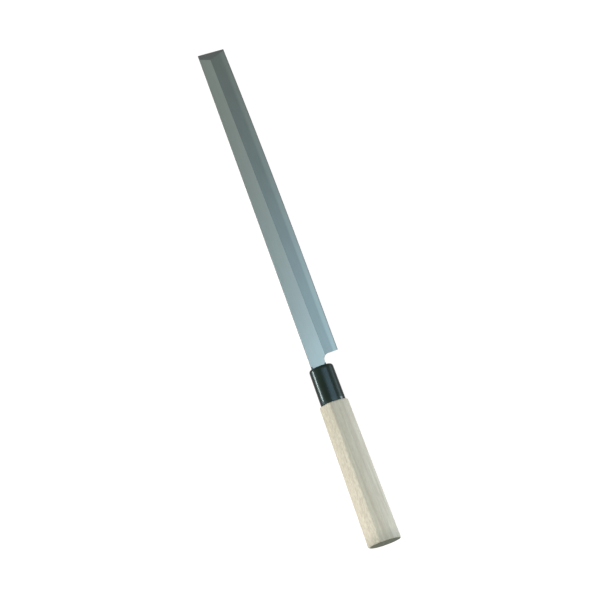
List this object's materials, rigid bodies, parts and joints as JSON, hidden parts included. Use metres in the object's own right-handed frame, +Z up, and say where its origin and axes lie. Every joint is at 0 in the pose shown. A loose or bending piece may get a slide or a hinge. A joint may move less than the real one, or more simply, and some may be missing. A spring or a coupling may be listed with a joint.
{
  "type": "takohiki knife",
  "caption": "Long square-tipped slicing knife with one bevel, a laminated blade with a hollow-ground back, a black oval ferrule and a pale ridged wooden handle.",
  "frame": {"origin": "middle of the knife's outline as it lies on a table, on the table's surface", "axes": "+X along the knife from the butt to the tip, +Y towards the spine, +Z up, out of the bevelled face"},
  "size_m": [0.4192, 0.031, 0.0241],
  "materials": {
    "soft_iron": "satin, fine stone haze on the bevel",
    "hard_steel": "satin, brighter than the iron",
    "black_ferrule": "polished black horn or resin",
    "ho_wood": "sanded, unvarnished, pale straight grain"
  },
  "bodies": {
    "root": {"blade_iron": "soft_iron", "blade_steel": "hard_steel", "ferrule": "black_ferrule", "handle": "ho_wood"}
  },
  "joints": []
}
